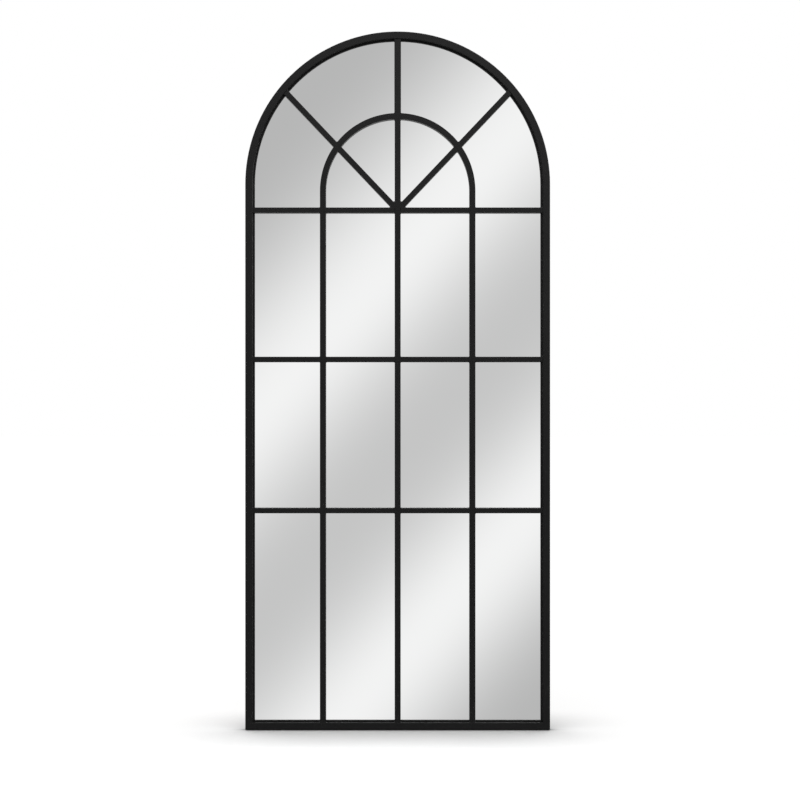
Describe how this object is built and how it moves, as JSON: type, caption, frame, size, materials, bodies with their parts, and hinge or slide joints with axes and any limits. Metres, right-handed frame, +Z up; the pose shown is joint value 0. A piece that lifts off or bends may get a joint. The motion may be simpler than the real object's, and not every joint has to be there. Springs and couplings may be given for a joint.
{
  "type": "arched window mirror",
  "caption": "Tall floor mirror with a half-round top: a black steel tube frame and a window-style grille of bars over the mirror glass, with swinging hanger rings behind.",
  "frame": {"origin": "on the floor, midway across the width and midway through the depth of the bounding box", "axes": "+Z up, front (mirror side) towards -Y, +X to the right seen from the front"},
  "size_m": [0.785, 0.036, 1.7999],
  "materials": {
    "black_coat": "satin black powder coat",
    "mirror": "silvered float glass",
    "board": "bare hardboard",
    "foam": "closed-cell foam",
    "zinc_steel": "zinc plated",
    "rubber": "matt"
  },
  "bodies": {
    "mirror": {"bottom_rail": "black_coat", "left_upright": "black_coat", "right_upright": "black_coat", "arch_hoop": "black_coat", "bottom_stop": "black_coat", "left_stop": "black_coat", "right_stop": "black_coat", "arch_stop": "black_coat", "left_mullion": "black_coat", "right_mullion": "black_coat", "centre_mullion": "black_coat", "inner_arch": "black_coat", "left_inner_spoke": "black_coat", "right_inner_spoke": "black_coat", "left_outer_spoke": "black_coat", "right_outer_spoke": "black_coat", "top_spoke": "black_coat", "lower_crossbar_far_left": "black_coat", "lower_crossbar_left": "black_coat", "lower_crossbar_right": "black_coat", "lower_crossbar_far_right": "black_coat", "middle_crossbar_far_left": "black_coat", "middle_crossbar_left": "black_coat", "middle_crossbar_right": "black_coat", "middle_crossbar_far_right": "black_coat", "upper_crossbar_far_left": "black_coat", "upper_crossbar_left": "black_coat", "upper_crossbar_right": "black_coat", "upper_crossbar_far_right": "black_coat", "retaining_clips": "zinc_steel", "clip_screws": "zinc_steel", "left_hanger_strap": "zinc_steel", "right_hanger_strap": "zinc_steel", "hanger_screws": "zinc_steel", "left_setting_block": "rubber", "right_setting_block": "rubber", "left_foot_pad": "rubber", "right_foot_pad": "rubber", "lower_left_bumper": "rubber", "lower_right_bumper": "rubber", "upper_left_bumper": "rubber", "upper_right_bumper": "rubber", "mirror_glass": "mirror", "foam_sheet": "foam", "backing_board": "board"},
    "left_ring": {"left_hanging_ring": "zinc_steel"},
    "right_ring": {"right_hanging_ring": "zinc_steel"}
  },
  "joints": [
    {"name": "left_ring_swing", "type": "hinge", "parent": "mirror", "child": "left_ring", "pos_m": [-0.383, 0.01475, 1.372], "axis": [1, 0, 0], "range_deg": [0, 180]},
    {"name": "right_ring_swing", "type": "hinge", "parent": "mirror", "child": "right_ring", "pos_m": [0.383, 0.01475, 1.372], "axis": [1, 0, 0], "range_deg": [0, 180]}
  ]
}
